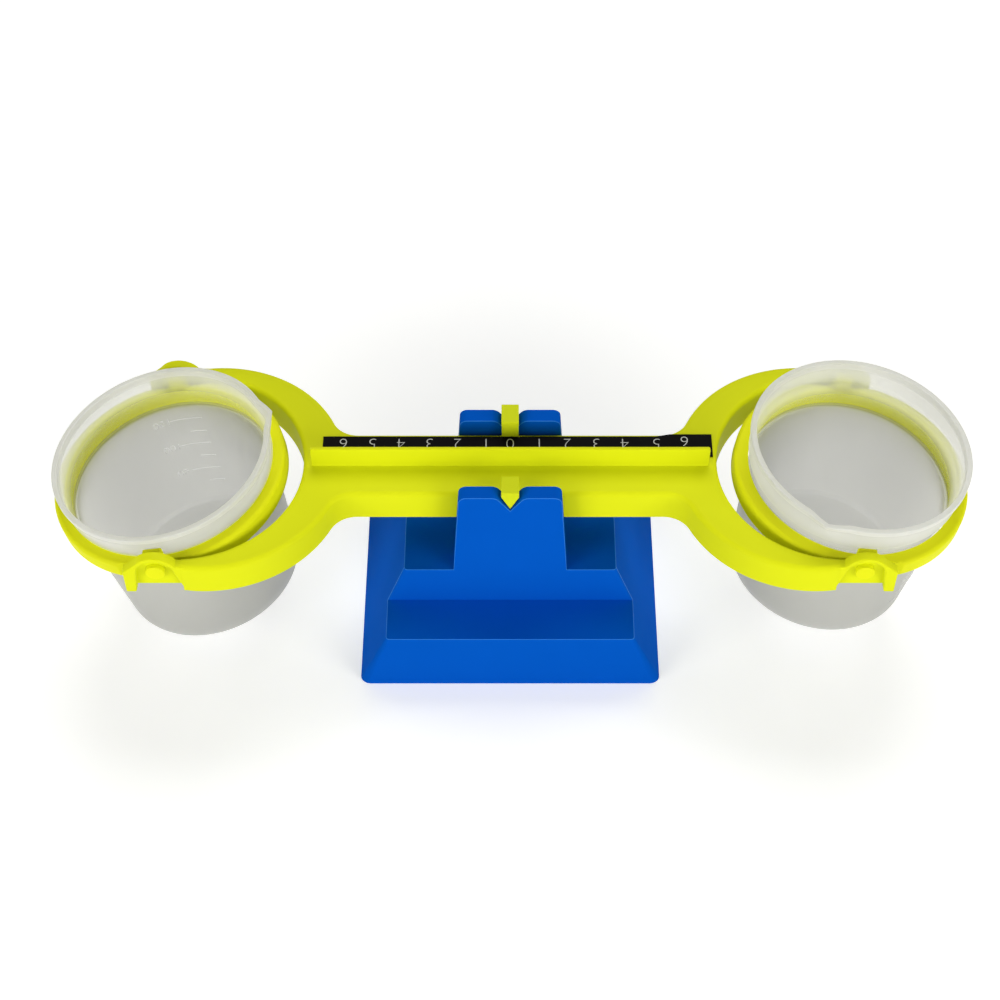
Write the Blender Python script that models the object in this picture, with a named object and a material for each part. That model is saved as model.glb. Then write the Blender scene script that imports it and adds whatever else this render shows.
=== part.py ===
# Two-pan balance scale: a stepped moulded base with two notched cheeks, a rocking beam with a yoke at
# each end, two knife-edge inserts, a printed scale strip, and a swinging collar with a lift-out bucket
# in each yoke.
# Units are metres, +Z is up, +X is to the right, +Y points away from the viewer.
import math

import bmesh
import bpy
from mathutils import Matrix, Vector

MM = 0.001

# Beam bar
BEAM_TOP = 78.6 * MM
BEAM_SKIRT = 12.9 * MM
BEAM_WALL = 2.0 * MM
BEAM_EDGE_R = 1.7 * MM
BAR_HALF = 13.9 * MM

# Base; the cheeks stand clear of the bar and the upper tier carries the cheeks
BASE_HALF_W = 55.6 * MM
BASE_HALF_D = 41.2 * MM
SIDE_SLOPE = 0.385
TIER1_H = 27.6 * MM
TIER1_DRAFT = 0.8 * MM
TIER2_H = 45.1 * MM
TIER2_DRAFT = 0.7 * MM
CHEEK_CLEAR = 1.0 * MM
CHEEK_T = 5.5 * MM
CHEEK_DRAFT = 1.6 * MM
CHEEK_TOP_HALF_W = 17.9 * MM
CHEEK_SIDE_DRAFT = 2.5 * MM
CHEEK_RISE = 5.7 * MM
CHEEK_ROOT = 4.0 * MM
CHEEK_SEAT = 0.15 * MM
CHEEK_CORNER_R = 2.6 * MM
CHEEK_EDGE_R = 1.4 * MM
NOTCH_HALF_W = 4.9 * MM
NOTCH_LIP_R = 1.8 * MM
BASE_WALL = 2.0 * MM
BASE_CORNER_R = 3.4 * MM
BASE_EDGE_R = 1.2 * MM

# Buckets; the right one is photographed a little out of its seat
RIM_H = 11.0 * MM
RIM_R = 39.5 * MM
RIM_BEAD_H = 2.0 * MM
RIM_STEP = 0.8 * MM
RIM_CHAMFER = 0.4 * MM
NECK_CHAMFER = 0.3 * MM
NECK_TAPER = 0.4 * MM
SHOULDER_W = 1.1 * MM
BUCKET_DEPTH = 68.4 * MM
BUCKET_FOOT_R = 33.0 * MM
BUCKET_FILLET_R = 3.0 * MM
BUCKET_WALL = 1.2 * MM
SPOUT_REACH = 2.6 * MM
SPOUT_HALF_ANGLE = math.radians(11.0)
SPOUT_DEPTH = 10.0 * MM
LEFT_LEAN = math.radians(9.7)
RIGHT_LEAN = math.radians(7.0)
RIGHT_RAISE = 4.0 * MM
LEFT_SPOUT = math.radians(18.0)
RIGHT_SPOUT = math.radians(-113.0)

# Collars; a flat at front and rear keeps each clear of its yoke
COLLAR_WALL = 4.9 * MM
COLLAR_FLAT_WALL = 2.3 * MM
COLLAR_TOP = 0.3 * MM
COLLAR_BOTTOM = -7.5 * MM
COLLAR_EDGE_R = 1.2 * MM
EAR_HALF_W = 3.4 * MM
EAR_TOP = 6.0 * MM
EAR_BOTTOM = -3.0 * MM
EAR_ROOT = 0.8 * MM
EAR_EDGE_R = 0.6 * MM
PIN_INSET = 0.3 * MM

# Yokes; each goes round its collar
PIN_X = 121.5 * MM
YOKE_CLEAR = 1.7 * MM
YOKE_RIM = 5.0 * MM
YOKE_OUT_SHIFT = 16.0 * MM
YOKE_IN_SHIFT = 6.7 * MM
YOKE_FILLET_R = 10.0 * MM
YOKE_END = 9.0 * MM
YOKE_VOID_END = 20.0 * MM

# Pivot lugs at the yoke ends
PIN_DROP = 4.0 * MM
PIN_R = 3.3 * MM
LUG_SET = 0.9 * MM
LUG_T = 3.4 * MM
LUG_BACK_T = 1.4 * MM
LUG_ARCH_R = 6.6 * MM
LUG_ARCH_FROM = math.radians(152.0)
LUG_ARCH_TO = math.radians(34.0)
LUG_STRAP = 1.6 * MM
LUG_LEG_STEP = 1.0 * MM
LUG_LEG_W = 3.6 * MM
LUG_LEG_RISE = 0.7 * MM
LUG_LEG_LOW = 10.2 * MM
LUG_LAP = 2.5 * MM
LUG_LAP_H = 2.0 * MM
LUG_TOP_STEP = 0.3 * MM
LUG_BACK_DROP = 7.75 * MM

# Rib and scale strip on the bar
RIB_END_GAP = 3.0 * MM
RIB_FRONT = -1.1 * MM
RIB_T = 1.5 * MM
RIB_H = 8.9 * MM
RIB_EDGE_R = 0.35 * MM
STRIP_LEFT_GAP = 3.5 * MM
STRIP_RIGHT_OVER = 1.7 * MM
STRIP_RIB_GAP = 2.6 * MM
STRIP_REAR_INSET = 1.7 * MM
STRIP_STEP = 1.0 * MM
STRIP_STEP_FROM = 20.0 * MM
STRIP_STEP_TO = 15.0 * MM
STRIP_T = 0.5 * MM

# Knife-edge inserts, with a tongue in a slotted boss
KNIFE_HALF_W = 3.1 * MM
KNIFE_LAP = 1.6 * MM
KNIFE_BACK = 0.4 * MM
KNIFE_REAR_EXTRA = 0.9 * MM
KNIFE_TIP_DROP = 0.9 * MM
KNIFE_V_H = 6.5 * MM
KNIFE_BLOCK_H = 2.4 * MM
HEEL_INSET = 0.05 * MM
TONGUE_HALF_W = 1.5 * MM
TONGUE_REACH = 2.5 * MM
TONGUE_LAP = 0.6 * MM
TONGUE_DEPTH = 8.0 * MM
TONGUE_FLUSH = 0.2 * MM
BOSS_SIDE = 3.0 * MM
BOSS_WALL = 2.0 * MM
BOSS_FLOOR = 2.5 * MM
BOSS_LAP = 0.5 * MM

# Clearances
FIT = 0.3 * MM
RUN_FIT = 0.08 * MM
SEAT = 0.05 * MM
PIVOT_GAP = 0.15 * MM
OVER = 1.0 * MM
TURNS = 60
SHARP = math.radians(32.0)

# Sizes that follow from the ones above
NECK_R = RIM_R - RIM_STEP
NECK_FOOT_R = NECK_R - NECK_TAPER
BODY_TOP_R = NECK_FOOT_R - SHOULDER_W
SHOULDER_H = COLLAR_TOP + SEAT
BUCKET_FLOOR = RIM_H - BUCKET_DEPTH
BODY_TAPER = (BODY_TOP_R - BUCKET_FOOT_R) / (SHOULDER_H - BUCKET_FLOOR)
COLLAR_IN_R = BODY_TOP_R + FIT
COLLAR_OUT_R = COLLAR_IN_R + COLLAR_WALL
COLLAR_FLAT = COLLAR_IN_R + COLLAR_FLAT_WALL
YOKE_IN_R = COLLAR_FLAT + YOKE_CLEAR
YOKE_OUT_R = YOKE_IN_R + YOKE_RIM
LUG_IN = YOKE_IN_R + LUG_SET
LUG_OUT = LUG_IN + LUG_T
LUG_LEG_IN = LUG_ARCH_R + LUG_LEG_STEP
LUG_LEG_OUT = LUG_LEG_IN + LUG_LEG_W
LUG_ROOT = YOKE_END + LUG_LAP
EAR_IN = COLLAR_FLAT - EAR_ROOT
EAR_OUT = LUG_IN - FIT
PIN_END = LUG_OUT - PIN_INSET
RIB_HALF_L = PIN_X - YOKE_IN_SHIFT - YOKE_IN_R - RIB_END_GAP
CHEEK_IN = BAR_HALF + CHEEK_CLEAR
CHEEK_TOP_OUT = CHEEK_IN + CHEEK_T
TIER2_TOP_HALF_D = CHEEK_TOP_OUT + CHEEK_DRAFT
TIER2_FOOT_HALF_D = TIER2_TOP_HALF_D + TIER2_DRAFT
TIER1_TOP_HALF_D = BASE_HALF_D - TIER1_DRAFT
KNIFE_IN = BAR_HALF - KNIFE_LAP
KNIFE_OUT = CHEEK_TOP_OUT - KNIFE_BACK
TONGUE_IN = KNIFE_IN - TONGUE_REACH
BOSS_HALF_W = TONGUE_HALF_W + BOSS_SIDE
BOSS_IN = TONGUE_IN - BOSS_WALL
BOSS_DEPTH = TONGUE_DEPTH + BOSS_FLOOR
PIN_Z = BEAM_TOP - PIN_DROP
KNIFE_TIP = BEAM_TOP - KNIFE_TIP_DROP
KNIFE_SHOULDER = KNIFE_TIP + KNIFE_V_H
KNIFE_TOP = KNIFE_SHOULDER + KNIFE_BLOCK_H
CHEEK_TOP = BEAM_TOP + CHEEK_RISE
NOTCH_TIP = KNIFE_TIP - PIVOT_GAP
SKIRT_BOTTOM = BEAM_TOP - BEAM_SKIRT


for item in list(bpy.data.objects):
    bpy.data.objects.remove(item, do_unlink=True)

scene = bpy.context.scene
scene.unit_settings.system = "METRIC"
scene.unit_settings.length_unit = "METERS"

parts = bpy.data.collections.new("two_pan_balance_scale")
cutters = bpy.data.collections.new("cutters")
scene.collection.children.link(parts)
scene.collection.children.link(cutters)


def material(name, colour, roughness, transmission=0.0):
    mat = bpy.data.materials.new(name)
    mat.use_nodes = True
    shader = mat.node_tree.nodes["Principled BSDF"]
    shader.inputs["Base Color"].default_value = (colour[0], colour[1], colour[2], 1.0)
    shader.inputs["Roughness"].default_value = roughness
    shader.inputs["Transmission Weight"].default_value = transmission
    mat.diffuse_color = (colour[0], colour[1], colour[2], 1.0)
    return mat


BLUE = material("blue_plastic", (0.003, 0.100, 0.530), 0.35)
LIME = material("lime_plastic", (0.640, 0.680, 0.005), 0.35)
KNIFE_LIME = material("knife_lime_plastic", (0.600, 0.680, 0.005), 0.35)
COLLAR_LIME = material("collar_lime_plastic", (0.640, 0.680, 0.005), 0.35)
BLACK = material("black_strip", (0.006, 0.006, 0.006), 0.45)
FROSTED = material("frosted_plastic", (0.800, 0.800, 0.780), 0.40, 0.6)


def place(name, bm, group, mat=None, matrix=None):
    bmesh.ops.remove_doubles(bm, verts=bm.verts, dist=1e-7)
    bmesh.ops.recalc_face_normals(bm, faces=bm.faces)
    mesh = bpy.data.meshes.new(name)
    bm.to_mesh(mesh)
    bm.free()
    mesh.shade_smooth()
    mesh.set_sharp_from_angle(angle=SHARP)
    obj = bpy.data.objects.new(name, mesh)
    group.objects.link(obj)
    if matrix is not None:
        obj.matrix_world = matrix
    if mat is not None:
        mesh.materials.append(mat)
    if group is cutters:
        obj.hide_render = True
        obj.display_type = "WIRE"
    return obj


def combine(obj, other, operation):
    mod = obj.modifiers.new(operation.lower() + "_" + other.name, "BOOLEAN")
    mod.operation = operation
    mod.solver = "EXACT"
    mod.object = other


def block(x0, x1, y0, y1, z0, z1):
    bm = bmesh.new()
    bmesh.ops.create_cube(bm, size=1.0)
    for v in bm.verts:
        v.co.x = x1 if v.co.x > 0 else x0
        v.co.y = y1 if v.co.y > 0 else y0
        v.co.z = z1 if v.co.z > 0 else z0
    return bm


def prism(outline, lift, start, length):
    # Extrudes a flat outline; lift maps a pair and a depth to a point in space.
    bm = bmesh.new()
    ring = [bm.verts.new(lift(u, w, start)) for u, w in outline]
    face = bm.faces.new(ring)
    grown = bmesh.ops.extrude_face_region(bm, geom=[face])
    shift = Vector(lift(0.0, 0.0, start + length)) - Vector(lift(0.0, 0.0, start))
    moved = [g for g in grown["geom"] if isinstance(g, bmesh.types.BMVert)]
    bmesh.ops.translate(bm, verts=moved, vec=shift)
    bmesh.ops.recalc_face_normals(bm, faces=bm.faces)
    return bm


def along_z(u, w, d):
    return (u, w, d)


def along_y(u, w, d):
    return (u, d, w)


def along_x(u, w, d):
    return (d, u, w)


def arc(cx, cy, r, a0, a1, steps):
    return [
        (cx + r * math.cos(a0 + (a1 - a0) * i / steps), cy + r * math.sin(a0 + (a1 - a0) * i / steps))
        for i in range(steps + 1)
    ]


def round_edges(bm, edges, width, segments):
    bmesh.ops.bevel(
        bm,
        geom=edges,
        offset=width,
        offset_type="OFFSET",
        affect="EDGES",
        segments=segments,
        profile=0.5,
        clamp_overlap=True,
        material=-1,
    )


# Base body: a stepped profile with both ends drawn in along one sloping plane each.
def stepped_body(inset, foot):
    half = [
        (BASE_HALF_D - inset, -foot),
        (TIER1_TOP_HALF_D - inset, TIER1_H - inset),
        (TIER2_FOOT_HALF_D - inset, TIER1_H - inset),
        (TIER2_TOP_HALF_D - inset, TIER2_H - inset),
    ]
    outline = half + [(-y, z) for y, z in reversed(half)]
    bm = prism(outline, along_x, -1.0, 2.0)
    for v in bm.verts:
        reach = BASE_HALF_W - inset - SIDE_SLOPE * v.co.z
        v.co.x = reach if v.co.x > 0 else -reach
    return bm


def is_along_y(edge):
    a, b = edge.verts
    return abs(a.co.x - b.co.x) < 1e-6 and abs(a.co.z - b.co.z) < 1e-6


def is_corner(edge, z_low, z_high):
    a, b = edge.verts
    low = min(a.co.z, b.co.z)
    high = max(a.co.z, b.co.z)
    upright = abs(a.co.y) > 1e-6 and abs(a.co.x - b.co.x) > 1e-5
    return upright and abs(low - z_low) < 1e-6 and abs(high - z_high) < 1e-6


bm = stepped_body(0.0, 0.0)
corners = [e for e in bm.edges if is_corner(e, 0.0, TIER1_H) or is_corner(e, TIER1_H, TIER2_H)]
round_edges(bm, corners, BASE_CORNER_R, 4)
sharp = []
for e in bm.edges:
    if len(e.link_faces) != 2:
        continue
    if max(v.co.z for v in e.verts) < 1e-6:
        continue
    if e.calc_face_angle() > math.radians(30.0):
        sharp.append(e)
round_edges(bm, sharp, BASE_EDGE_R, 3)
base = place("base", bm, parts, BLUE)


def cheek_body(side):
    slope_w = CHEEK_SIDE_DRAFT / (CHEEK_TOP - TIER2_H)
    slope_d = CHEEK_DRAFT / (CHEEK_TOP - TIER2_H)
    bm = block(-1.0, 1.0, -1.0, 1.0, TIER2_H - CHEEK_ROOT, CHEEK_TOP)
    for v in bm.verts:
        drop = CHEEK_TOP - v.co.z
        half_w = CHEEK_TOP_HALF_W + slope_w * drop
        v.co.x = half_w if v.co.x > 0 else -half_w
        outer = CHEEK_TOP_OUT + slope_d * drop - CHEEK_SEAT
        v.co.y = side * (outer if v.co.y * side > 0 else CHEEK_IN)
    ends = [e for e in bm.edges if min(v.co.z for v in e.verts) > CHEEK_TOP - 1e-6 and is_along_y(e)]
    round_edges(bm, ends, CHEEK_CORNER_R, 4)
    rim = []
    for e in bm.edges:
        if len(e.link_faces) != 2 or is_along_y(e):
            continue
        if max(v.co.z for v in e.verts) > TIER2_H and e.calc_face_angle() > SHARP:
            rim.append(e)
    round_edges(bm, rim, CHEEK_EDGE_R, 3)
    return bm


for side, label in ((-1, "front"), (1, "rear")):
    cheek = place(label + "_cheek", cheek_body(side), cutters)
    combine(base, cheek, "UNION")

hollow = place("base_hollow", stepped_body(BASE_WALL, OVER), cutters)
combine(base, hollow, "DIFFERENCE")

# Notch outline: a V whose upper corners roll over into the top of the cheek.
def notch_outline():
    slope = NOTCH_HALF_W / (CHEEK_TOP - NOTCH_TIP)
    z = CHEEK_TOP - NOTCH_LIP_R
    x = slope * (z - NOTCH_TIP) + NOTCH_LIP_R * math.hypot(1.0, slope)
    lip = arc(x, z, NOTCH_LIP_R, math.pi - math.atan(slope), math.pi / 2, 4)
    half = lip + [(x, CHEEK_TOP + OVER)]
    return [(0.0, NOTCH_TIP)] + half + [(-u, w) for u, w in reversed(half)]


notch_reach = TIER2_TOP_HALF_D + OVER
notch = place("notch", prism(notch_outline(), along_y, -notch_reach, 2 * notch_reach), cutters)
combine(base, notch, "DIFFERENCE")


# Beam plan outline: a straight bar that swells into an open yoke at each end.
def beam_outline(inset, end):
    h = BAR_HALF - inset
    r_out = YOKE_OUT_R - inset
    r_in = YOKE_IN_R + inset
    fil = YOKE_FILLET_R + inset
    c_out = PIN_X - YOKE_OUT_SHIFT
    c_in = PIN_X - YOKE_IN_SHIFT
    x_end = PIN_X - end
    fx = c_out - math.sqrt((r_out + fil) ** 2 - (h + fil) ** 2)
    fy = h + fil
    toward = math.atan2(-fy, c_out - fx)
    quarter = arc(fx, fy, fil, -math.pi / 2, toward, 6)
    a_start = math.atan2(fy, fx - c_out)
    a_end = math.acos((x_end - c_out) / r_out)
    quarter += arc(c_out, 0.0, r_out, a_start, a_end, 14)[1:]
    b_start = math.acos((x_end - c_in) / r_in)
    inner = arc(c_in, 0.0, r_in, b_start, 2 * math.pi - b_start, 36)
    right = quarter + inner + [(x, -y) for x, y in reversed(quarter)]
    left = [(-x, -y) for x, y in right]
    return right + left


bm = prism(beam_outline(0.0, YOKE_END), along_z, SKIRT_BOTTOM, BEAM_SKIRT)
top = [e for e in bm.edges if min(v.co.z for v in e.verts) > BEAM_TOP - 1e-6]
round_edges(bm, top, BEAM_EDGE_R, 3)
beam = place("beam", bm, parts, LIME)

void_h = BEAM_SKIRT - BEAM_WALL + OVER
void = prism(beam_outline(BEAM_WALL, YOKE_VOID_END), along_z, SKIRT_BOTTOM - OVER, void_h)
combine(beam, place("beam_void", void, cutters), "DIFFERENCE")

rib_root = BEAM_TOP - 0.5 * BEAM_WALL
bm = block(-RIB_HALF_L, RIB_HALF_L, RIB_FRONT, RIB_FRONT + RIB_T, rib_root, BEAM_TOP + RIB_H)
keep = [e for e in bm.edges if max(v.co.z for v in e.verts) > BEAM_TOP]
round_edges(bm, keep, RIB_EDGE_R, 2)
combine(beam, place("rib", bm, cutters), "UNION")


# Lug outline in the upright plane; u runs outward from the pin axis, w is height from it.
def lug_outline():
    reach = LUG_ARCH_R + LUG_STRAP
    top_w = PIN_DROP - LUG_TOP_STEP
    pts = [(-LUG_ROOT, top_w - LUG_LAP_H), (-LUG_ROOT, top_w)]
    pts += arc(0.0, 0.0, reach, LUG_ARCH_FROM, LUG_ARCH_TO, 12)
    pts += [(LUG_LEG_OUT, LUG_LEG_RISE), (LUG_LEG_OUT, -LUG_LEG_LOW), (LUG_LEG_IN, -LUG_LEG_LOW)]
    pts += [(LUG_LEG_IN, -LUG_BACK_DROP), (-LUG_ROOT, -LUG_BACK_DROP)]
    return pts


def lug_window():
    half = arc(0.0, 0.0, LUG_ARCH_R, math.pi, 0.0, 12)
    pts = [(-YOKE_END, -LUG_BACK_DROP - OVER)] + half + [(LUG_LEG_IN, -LUG_BACK_DROP - OVER)]
    return pts


for sx, lx in ((-1, "left"), (1, "right")):
    for sy, ly in ((-1, "front"), (1, "rear")):
        tag = lx + "_" + ly

        def lift(u, w, d, sx=sx, sy=sy):
            return (sx * (PIN_X + u), sy * d, PIN_Z + w)

        plate = place(tag + "_lug", prism(lug_outline(), lift, LUG_IN, LUG_T), cutters)
        combine(beam, plate, "UNION")
        recess = prism(lug_window(), lift, LUG_IN + LUG_BACK_T, LUG_T)
        combine(beam, place(tag + "_lug_window", recess, cutters), "DIFFERENCE")
        hole = arc(0.0, 0.0, PIN_R + RUN_FIT, 0.0, 2 * math.pi, 24)[:-1]
        bore = prism(hole, lift, LUG_IN - OVER, LUG_T + 2 * OVER)
        combine(beam, place(tag + "_pin_hole", bore, cutters), "DIFFERENCE")


# Knife-edge inserts with a square heel on the beam and a tongue that drops into a slotted boss under it.
def knife_outline(grow):
    tip = KNIFE_TIP - grow / math.sin(math.atan2(KNIFE_HALF_W, KNIFE_V_H))
    rise = (KNIFE_HALF_W + grow) * KNIFE_V_H / KNIFE_HALF_W
    w = KNIFE_HALF_W + grow
    return [(0.0, tip), (w, tip + rise), (w, KNIFE_TOP + grow), (-w, KNIFE_TOP + grow), (-w, tip + rise)]


def knife_tongue(side, grow):
    x = TONGUE_HALF_W + grow
    y0 = TONGUE_IN - grow
    y1 = KNIFE_IN + TONGUE_LAP + grow
    z0 = BEAM_TOP - TONGUE_DEPTH - grow
    z1 = BEAM_TOP - TONGUE_FLUSH
    if grow > 0:
        z1 = BEAM_TOP + OVER
    return block(-x, x, min(side * y0, side * y1), max(side * y0, side * y1), z0, z1)


for side, label in ((-1, "front"), (1, "rear")):
    y_in = side * (BAR_HALF - BEAM_WALL + BOSS_LAP)
    y_far = side * BOSS_IN
    boss = block(
        -BOSS_HALF_W,
        BOSS_HALF_W,
        min(y_in, y_far),
        max(y_in, y_far),
        BEAM_TOP - BOSS_DEPTH,
        BEAM_TOP - 0.5 * BEAM_WALL,
    )
    combine(beam, place(label + "_knife_boss", boss, cutters), "UNION")

for side, label, extra in ((-1, "front", 0.0), (1, "rear", KNIFE_REAR_EXTRA)):
    start = side * KNIFE_IN
    length = side * (KNIFE_OUT + extra - KNIFE_IN)
    knife = place(label + "_knife_edge", prism(knife_outline(0.0), along_y, start, length), parts, KNIFE_LIME)
    tongue = place(label + "_tongue", knife_tongue(side, 0.0), cutters)
    combine(knife, tongue, "UNION")
    low_y, high_y = sorted((side * (KNIFE_IN + HEEL_INSET), side * BAR_HALF))
    heel_w = KNIFE_HALF_W - HEEL_INSET
    heel = block(-heel_w, heel_w, low_y, high_y, BEAM_TOP + SEAT, KNIFE_TOP - HEEL_INSET)
    combine(knife, place(label + "_heel", heel, cutters), "UNION")
    seat_start = side * (KNIFE_IN - FIT)
    seat = place(label + "_knife_seat", prism(knife_outline(SEAT), along_y, seat_start, length), cutters)
    combine(beam, seat, "DIFFERENCE")
    slot = place(label + "_tongue_slot", knife_tongue(side, SEAT), cutters)
    combine(beam, slot, "DIFFERENCE")

# Printed scale strip lying on the beam behind the rib; its rear edge steps back near the right end.
strip_front = RIB_FRONT + RIB_T + STRIP_RIB_GAP
strip_rear = BAR_HALF - STRIP_REAR_INSET
strip_left = STRIP_LEFT_GAP - RIB_HALF_L
strip_right = RIB_HALF_L + STRIP_RIGHT_OVER
strip_plan = [
    (strip_left, strip_front),
    (strip_right, strip_front),
    (strip_right, strip_rear + STRIP_STEP),
    (strip_right - STRIP_STEP_TO, strip_rear + STRIP_STEP),
    (strip_right - STRIP_STEP_FROM, strip_rear),
    (strip_left, strip_rear),
]
scale_strip = place("scale_strip", prism(strip_plan, along_z, BEAM_TOP + SEAT, STRIP_T), parts, BLACK)
strip_cut = block(
    -KNIFE_HALF_W - FIT,
    KNIFE_HALF_W + FIT,
    KNIFE_IN - FIT,
    BAR_HALF + OVER,
    BEAM_TOP - OVER,
    BEAM_TOP + STRIP_T + OVER,
)
combine(scale_strip, place("strip_relief", strip_cut, cutters), "DIFFERENCE")


def revolve(profile, turns):
    bm = bmesh.new()
    chain = [bm.verts.new((r, 0.0, h)) for r, h in profile]
    edges = [bm.edges.new((a, b)) for a, b in zip(chain, chain[1:])]
    bmesh.ops.spin(
        bm,
        geom=chain + edges,
        cent=(0.0, 0.0, 0.0),
        axis=(0.0, 0.0, 1.0),
        angle=2 * math.pi,
        steps=turns,
        use_merge=True,
    )
    bmesh.ops.remove_doubles(bm, verts=bm.verts, dist=1e-6)
    return bm


def collar_profile():
    r_top = COLLAR_IN_R
    r_low = r_top - BODY_TAPER * (COLLAR_TOP - COLLAR_BOTTOM)
    e = COLLAR_EDGE_R
    outer_top = arc(COLLAR_OUT_R - e, COLLAR_TOP - e, e, math.pi / 2, 0.0, 3)
    outer_low = arc(COLLAR_OUT_R - e, COLLAR_BOTTOM + e, e, 0.0, -math.pi / 2, 3)
    loop = [(r_top, COLLAR_TOP)] + outer_top + outer_low + [(r_low, COLLAR_BOTTOM)]
    return loop + [loop[0]]


def bucket_profile():
    f = BUCKET_FILLET_R
    t = BUCKET_WALL
    outer = [
        (RIM_R - RIM_CHAMFER, RIM_H),
        (RIM_R, RIM_H - RIM_CHAMFER),
        (RIM_R, RIM_H - RIM_BEAD_H),
        (NECK_R, RIM_H - RIM_BEAD_H - NECK_CHAMFER),
        (NECK_FOOT_R, SHOULDER_H + NECK_CHAMFER),
        (NECK_FOOT_R - NECK_CHAMFER, SHOULDER_H),
        (BODY_TOP_R, SHOULDER_H),
    ]
    outer += arc(BUCKET_FOOT_R - f + BODY_TAPER * f, BUCKET_FLOOR + f, f, 0.0, -math.pi / 2, 3)
    fi = f - t
    inner = [(0.0, BUCKET_FLOOR + t)]
    inner += arc(BUCKET_FOOT_R - f + BODY_TAPER * f, BUCKET_FLOOR + f, fi, -math.pi / 2, 0.0, 2)
    inner += [
        (BODY_TOP_R - t, SHOULDER_H - t),
        (NECK_FOOT_R - t, SHOULDER_H + t),
        (NECK_R - t, RIM_H - RIM_CHAMFER),
        (NECK_R - t + RIM_CHAMFER, RIM_H),
    ]
    loop = outer + [(0.0, BUCKET_FLOOR)] + inner
    return loop + [loop[0]]


def pull_spout(bm, bearing):
    for v in bm.verts:
        r = math.hypot(v.co.x, v.co.y)
        if r < 1e-6 or v.co.z < RIM_H - SPOUT_DEPTH:
            continue
        turn = math.atan2(v.co.y, v.co.x) - bearing
        turn = (turn + math.pi) % (2 * math.pi) - math.pi
        share = max(0.0, 1.0 - abs(turn) / SPOUT_HALF_ANGLE)
        rise = (v.co.z - (RIM_H - SPOUT_DEPTH)) / SPOUT_DEPTH
        grow = 1.0 + SPOUT_REACH * share * rise * rise / r
        v.co.x *= grow
        v.co.y *= grow


pans = ((-1, "left", LEFT_LEAN, LEFT_SPOUT, 0.0), (1, "right", RIGHT_LEAN, RIGHT_SPOUT, RIGHT_RAISE))
for sx, label, lean, bearing, lift_off in pans:
    frame = Matrix.Translation((sx * PIN_X, 0.0, PIN_Z)) @ Matrix.Rotation(sx * lean, 4, "Y")
    collar = place(label + "_collar", revolve(collar_profile(), TURNS), parts, COLLAR_LIME, frame)
    for sy, ly in ((-1, "front"), (1, "rear")):
        tag = label + "_" + ly
        y_pair = sorted((sy * COLLAR_FLAT, sy * (COLLAR_OUT_R + OVER)))
        bm = block(-COLLAR_OUT_R, COLLAR_OUT_R, y_pair[0], y_pair[1], COLLAR_BOTTOM - OVER, COLLAR_TOP + OVER)
        combine(collar, place(tag + "_flat", bm, cutters, None, frame), "DIFFERENCE")
        y_pair = sorted((sy * EAR_IN, sy * EAR_OUT))
        bm = block(-EAR_HALF_W, EAR_HALF_W, y_pair[0], y_pair[1], EAR_BOTTOM, EAR_TOP)
        keep = [e for e in bm.edges if max(v.co.z for v in e.verts) > EAR_TOP - 1e-6]
        round_edges(bm, keep, EAR_EDGE_R, 2)
        combine(collar, place(tag + "_ear", bm, cutters, None, frame), "UNION")
        disc = arc(0.0, 0.0, PIN_R, 0.0, 2 * math.pi, 24)[:-1]
        bm = prism(disc, along_y, sy * (EAR_OUT - OVER), sy * (PIN_END - EAR_OUT + OVER))
        combine(collar, place(tag + "_pin", bm, cutters, None, frame), "UNION")
    bm = revolve(bucket_profile(), TURNS)
    spout_frame = Matrix.Rotation(bearing, 4, "Z")
    pull_spout(bm, 0.0)
    bmesh.ops.transform(bm, matrix=spout_frame, verts=bm.verts)
    place(label + "_bucket", bm, parts, FROSTED, frame @ Matrix.Translation((0.0, 0.0, lift_off)))

# The beam and what is fixed to it turn about the knife edges.
pivot = bpy.data.objects.new("beam_pivot", None)
pivot.location = (0.0, 0.0, KNIFE_TIP)
pivot.empty_display_size = KNIFE_OUT
parts.objects.link(pivot)
for name in ("beam", "scale_strip", "front_knife_edge", "rear_knife_edge"):
    rider = bpy.data.objects[name]
    rider.parent = pivot
    rider.matrix_parent_inverse = Matrix.Translation((0.0, 0.0, -KNIFE_TIP))
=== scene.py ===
import math

import bmesh
import bpy
from mathutils import Matrix, Vector


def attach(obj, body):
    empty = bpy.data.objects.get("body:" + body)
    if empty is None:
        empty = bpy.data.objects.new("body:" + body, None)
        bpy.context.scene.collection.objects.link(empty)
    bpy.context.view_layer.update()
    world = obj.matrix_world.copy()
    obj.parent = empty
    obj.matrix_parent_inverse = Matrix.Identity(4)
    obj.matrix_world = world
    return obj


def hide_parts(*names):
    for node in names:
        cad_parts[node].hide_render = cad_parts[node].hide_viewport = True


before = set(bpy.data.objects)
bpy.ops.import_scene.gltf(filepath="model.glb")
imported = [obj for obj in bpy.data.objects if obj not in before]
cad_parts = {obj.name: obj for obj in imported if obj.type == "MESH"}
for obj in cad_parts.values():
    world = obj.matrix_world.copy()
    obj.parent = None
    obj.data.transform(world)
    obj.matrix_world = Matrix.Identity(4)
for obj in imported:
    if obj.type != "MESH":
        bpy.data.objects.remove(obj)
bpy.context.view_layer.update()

MM = 0.001

# Points nearer than these count as the same, from the loosest test to the tightest.
NEAR = 0.01 * MM
TINY = 1e-6
MERGE = 1e-7

# Axis of the arcs in an upright profile.
ACROSS = (0.0, 1.0, 0.0)

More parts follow.
